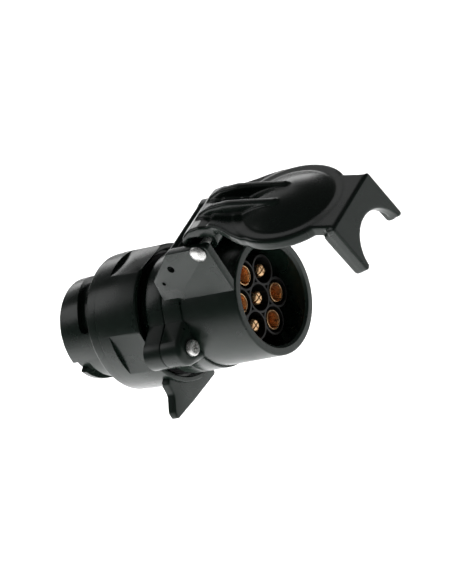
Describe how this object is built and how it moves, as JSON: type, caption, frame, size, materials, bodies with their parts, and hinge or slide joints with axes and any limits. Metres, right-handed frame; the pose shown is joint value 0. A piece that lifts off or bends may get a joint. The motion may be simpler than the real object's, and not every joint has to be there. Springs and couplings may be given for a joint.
{
  "type": "trailer wiring connector",
  "caption": "Trailer wiring adapter with a bayonet plug and turning grip ring at the back, and a socket with a hinged, domed lid at the front.",
  "frame": {"origin": "centre of the plug insert's rear face, on the connector's axis", "axes": "+X along the axis from the plug to the socket's mouth, +Z towards the lid's hinge, +Y to the side away from the lever"},
  "size_m": [0.1456, 0.0638, 0.0733],
  "materials": {
    "housing_plastic": "satin",
    "ring_plastic": "satin",
    "lid_plastic": "satin",
    "insert_plastic": "matte",
    "rubber": "matte",
    "brass": "polished",
    "steel": "bright",
    "wire_white": "satin",
    "wire_yellow": "satin",
    "wire_blue": "satin",
    "wire_green": "satin",
    "wire_brown": "satin",
    "wire_red": "satin",
    "wire_black": "satin"
  },
  "bodies": {
    "adapter": {"front_housing": "housing_plastic", "rear_housing": "housing_plastic", "socket_insert": "insert_plastic", "plug_insert": "insert_plastic", "retaining_ring": "steel", "plug_seal": "rubber", "hinge_pin": "steel", "housing_screw_near": "steel", "housing_screw_far": "steel", "female_contact_1": "brass", "female_contact_2": "brass", "female_contact_3": "brass", "female_contact_4": "brass", "male_contact_1": "brass", "male_contact_2": "brass", "male_contact_3": "brass", "plug_pin_01": "brass", "plug_pin_02": "brass", "plug_pin_03": "brass", "plug_pin_04": "brass", "plug_pin_05": "brass", "plug_pin_06": "brass", "plug_pin_07": "brass", "plug_pin_08": "brass", "plug_pin_09": "brass", "plug_pin_10": "brass", "plug_pin_11": "brass", "plug_pin_12": "brass", "plug_pin_13": "brass", "wire_1": "wire_white", "wire_2": "wire_yellow", "wire_3": "wire_blue", "wire_4": "wire_green", "wire_5": "wire_brown", "wire_6": "wire_red", "wire_7": "wire_black"},
    "coupling": {"grip_ring": "ring_plastic", "coupling_collar": "ring_plastic"},
    "lid": {"lid": "lid_plastic", "lid_gasket": "rubber"}
  },
  "joints": [
    {"name": "lid_hinge", "type": "hinge", "parent": "adapter", "child": "lid", "pos_m": [0.0702, 0, 0.0338], "axis": [0, 1, 0], "range_deg": [-15, 80]},
    {"name": "coupling_turn", "type": "hinge", "parent": "adapter", "child": "coupling", "pos_m": [0.02, 0, 0], "axis": [1, 0, 0], "range_deg": [-133, 0]}
  ]
}
